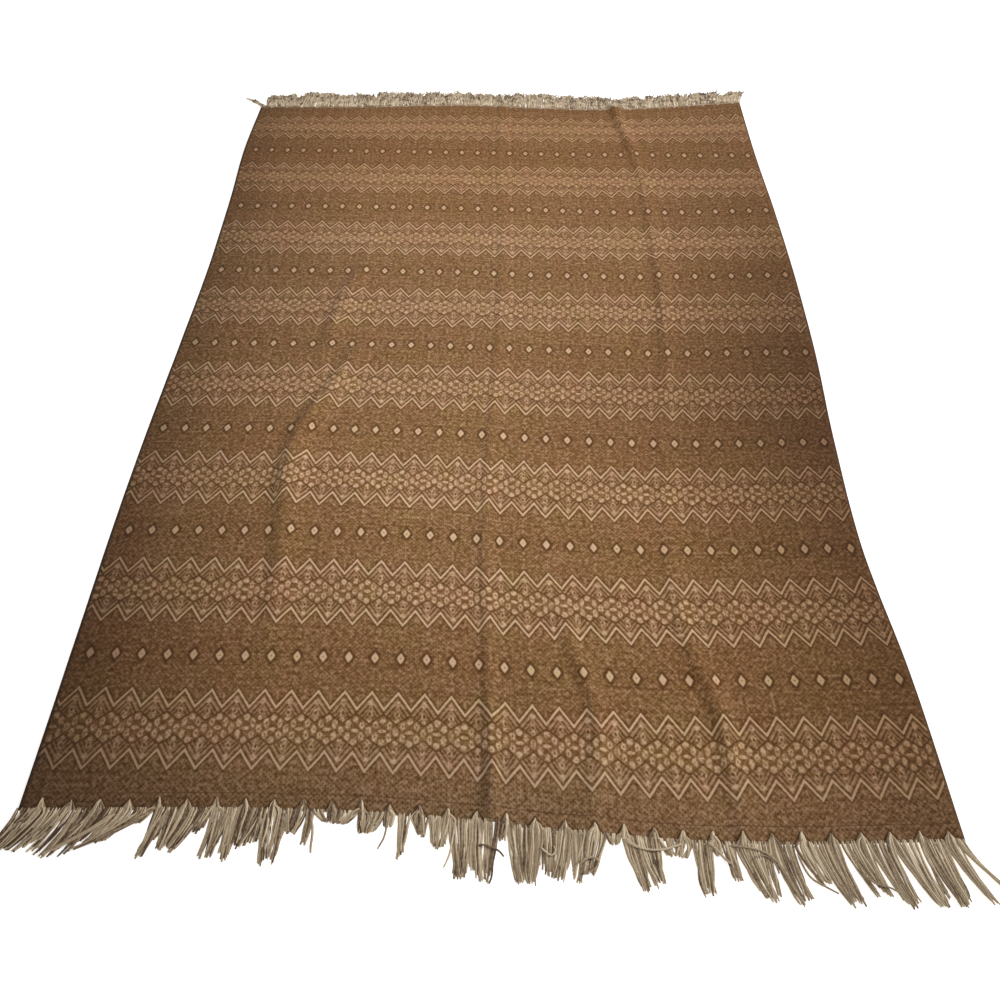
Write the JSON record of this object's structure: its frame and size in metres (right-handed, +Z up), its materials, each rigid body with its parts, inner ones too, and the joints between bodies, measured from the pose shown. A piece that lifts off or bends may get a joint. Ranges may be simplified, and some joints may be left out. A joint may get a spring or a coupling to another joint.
{
  "type": "wool throw blanket",
  "caption": "Woven wool throw blanket lying spread out flat with soft storage creases, figured bands and a cream warp fringe along each end.",
  "frame": {"origin": "on the floor under the middle of the spread blanket", "axes": "+Y along the length towards the far hem, +X across it to the right, +Z up"},
  "size_m": [1.5902, 2.5027, 0.0163],
  "materials": {
    "woven_wool": "matte woven wool, brown and tan",
    "fringe_yarn": "matte cream wool yarn"
  },
  "bodies": {
    "root": {"blanket_cloth": "woven_wool", "fringe_front": "fringe_yarn", "fringe_back": "fringe_yarn"}
  },
  "joints": []
}
